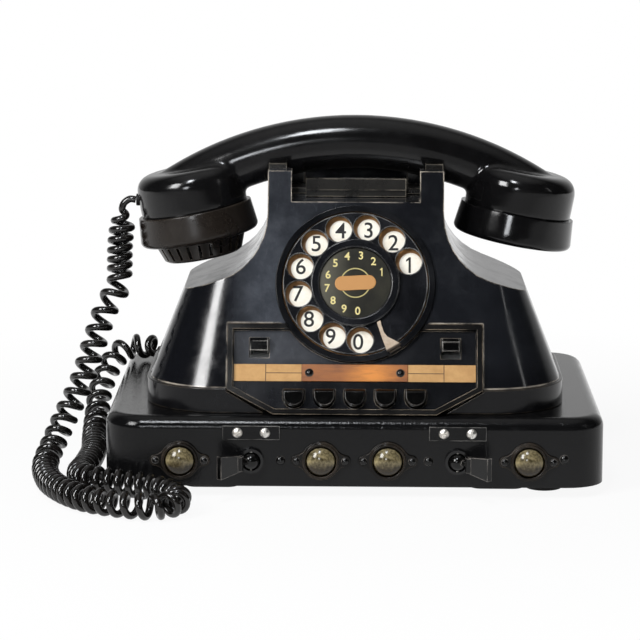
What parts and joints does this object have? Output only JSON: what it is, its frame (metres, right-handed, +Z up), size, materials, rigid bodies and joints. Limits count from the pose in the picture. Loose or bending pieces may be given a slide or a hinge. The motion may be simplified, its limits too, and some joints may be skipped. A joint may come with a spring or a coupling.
{
  "type": "rotary desk telephone",
  "caption": "Black desk telephone with a rotary dial, line buttons and call keys on a sloping panel, a lamp box with lever keys under it, and a handset on a curly cord.",
  "frame": {"origin": "on the table, under the middle of the telephone without its cord", "axes": "+Z up, +X to the user's right, -Y towards the user"},
  "size_m": [0.298, 0.265, 0.1895],
  "materials": {
    "base_paint": "fine texture, semi-gloss",
    "rubber": "satin",
    "black_moulding": "aged gloss",
    "brown_black_moulding": "aged gloss",
    "lens_glass": "pressed",
    "bulb_glass": "clear",
    "black_metal": "worn gloss",
    "nickel": "polished, aged",
    "steel": "plain",
    "brass": "plain",
    "paper": "aged paper",
    "brown_label": "aged",
    "number_enamel": "gloss enamel",
    "card": "faded",
    "coil_windings": "wound"
  },
  "bodies": {
    "telephone": {"base_housing": "base_paint", "bottom_plate": "base_paint", "rubber_feet": "rubber", "line_cable_gland": "rubber", "body_cord_gland": "rubber", "handset_cord": "rubber", "lamp_bezels": "black_moulding", "key_boss_left": "black_moulding", "key_boss_right": "black_moulding", "body_plinth": "black_moulding", "body_shell": "black_moulding", "panel_frame": "black_moulding", "panel_plate": "black_moulding", "dial_case": "black_moulding", "lamp_lens_1": "lens_glass", "lamp_lens_2": "lens_glass", "lamp_lens_3": "lens_glass", "lamp_lens_4": "lens_glass", "lamp_bulbs": "bulb_glass", "black_screws": "black_metal", "key_plate_left": "black_metal", "key_plate_right": "black_metal", "nickel_screws": "nickel", "finger_stop": "nickel", "key_pivot_pins": "nickel", "key_frames": "steel", "chassis_plate": "steel", "button_frame": "steel", "bell_gongs": "steel", "lamp_holders": "brass", "label_papers": "paper", "label_plate": "brown_label", "number_plate": "number_enamel", "hook_switch": "coil_windings", "ringer_coils": "coil_windings", "induction_coil": "coil_windings", "terminal_strip": "coil_windings"},
    "handset": {"handset_handle": "black_moulding", "mouthpiece_cap": "brown_black_moulding", "mouthpiece_grille": "brown_black_moulding", "earpiece_cap": "black_moulding", "transmitter_capsule": "steel", "receiver_capsule": "steel", "handset_gland": "rubber"},
    "dial wheel": {"finger_wheel": "black_moulding", "card_ring": "black_moulding", "number_card": "card", "dial_gear": "brass"},
    "governor": {"governor": "brass"},
    "cradle fork": {"cradle_fork": "black_metal"},
    "bell clapper": {"bell_clapper": "brass"},
    "left lever": {"key_lever_left": "black_moulding"},
    "right lever": {"key_lever_right": "black_moulding"},
    "left call key": {"call_key_left": "black_moulding"},
    "right call key": {"call_key_right": "black_moulding"},
    "line button 1": {"line_button_1": "black_moulding"},
    "line button 2": {"line_button_2": "black_moulding"},
    "line button 3": {"line_button_3": "black_moulding"},
    "line button 4": {"line_button_4": "black_moulding"},
    "line button 5": {"line_button_5": "black_moulding"}
  },
  "joints": [
    {"name": "handset_lift", "type": "slide", "parent": "telephone", "child": "handset", "axis": [0, 0, 1], "range_m": [0, 0.1], "deforming": ["handset_cord"]},
    {"name": "fork_rise", "type": "slide", "parent": "telephone", "child": "cradle fork", "axis": [0, 0, 1], "range_m": [0, 0.005]},
    {"name": "dial_turn", "type": "hinge", "parent": "telephone", "child": "dial wheel", "pos_m": [0, -0.06016, 0.1066], "axis": [0, 0.9367, -0.3502], "range_deg": [0, 334], "stiffness_Nm_per_rad": 0.02, "springref_deg": -57.3},
    {"name": "governor_spin", "type": "hinge", "parent": "telephone", "child": "governor", "pos_m": [-0.02387, -0.0632, 0.09846], "axis": [0, 0.9367, -0.3502], "range_deg": [-1340, 4]},
    {"name": "left_lever_throw", "type": "hinge", "parent": "telephone", "child": "left lever", "pos_m": [-0.053, -0.09295, 0.0196], "axis": [0, 0, 1], "range_deg": [0, 80]},
    {"name": "right_lever_throw", "type": "hinge", "parent": "telephone", "child": "right lever", "pos_m": [0.053, -0.09295, 0.0196], "axis": [0, 0, 1], "range_deg": [-80, 0]},
    {"name": "clapper_swing", "type": "hinge", "parent": "telephone", "child": "bell clapper", "pos_m": [0, 0.03655, 0.062], "axis": [0, 0, 1], "range_deg": [-3, 3], "stiffness_Nm_per_rad": 0.004},
    {"name": "line_button_1_push", "type": "slide", "parent": "telephone", "child": "line button 1", "axis": [0, 0.9063, -0.4226], "range_m": [0, 0.0035], "stiffness_N_per_m": 300, "springref_m": -0.003},
    {"name": "line_button_2_push", "type": "slide", "parent": "telephone", "child": "line button 2", "axis": [0, 0.9063, -0.4226], "range_m": [0, 0.0035], "stiffness_N_per_m": 300, "springref_m": -0.003},
    {"name": "line_button_3_push", "type": "slide", "parent": "telephone", "child": "line button 3", "axis": [0, 0.9063, -0.4226], "range_m": [0, 0.0035], "stiffness_N_per_m": 300, "springref_m": -0.003},
    {"name": "line_button_4_push", "type": "slide", "parent": "telephone", "child": "line button 4", "axis": [0, 0.9063, -0.4226], "range_m": [0, 0.0035], "stiffness_N_per_m": 300, "springref_m": -0.003},
    {"name": "line_button_5_push", "type": "slide", "parent": "telephone", "child": "line button 5", "axis": [0, 0.9063, -0.4226], "range_m": [0, 0.0035], "stiffness_N_per_m": 300, "springref_m": -0.003},
    {"name": "left_call_key_push", "type": "slide", "parent": "telephone", "child": "left call key", "axis": [0, 0.9063, -0.4226], "range_m": [0, 0.0035], "stiffness_N_per_m": 300, "springref_m": -0.003},
    {"name": "right_call_key_push", "type": "slide", "parent": "telephone", "child": "right call key", "axis": [0, 0.9063, -0.4226], "range_m": [0, 0.0035], "stiffness_N_per_m": 300, "springref_m": -0.003}
  ],
  "couplings": [
    {"joint": "fork_rise", "follows": "handset_lift", "ratio": 0.05},
    {"joint": "governor_spin", "follows": "dial_turn", "ratio": -4}
  ]
}
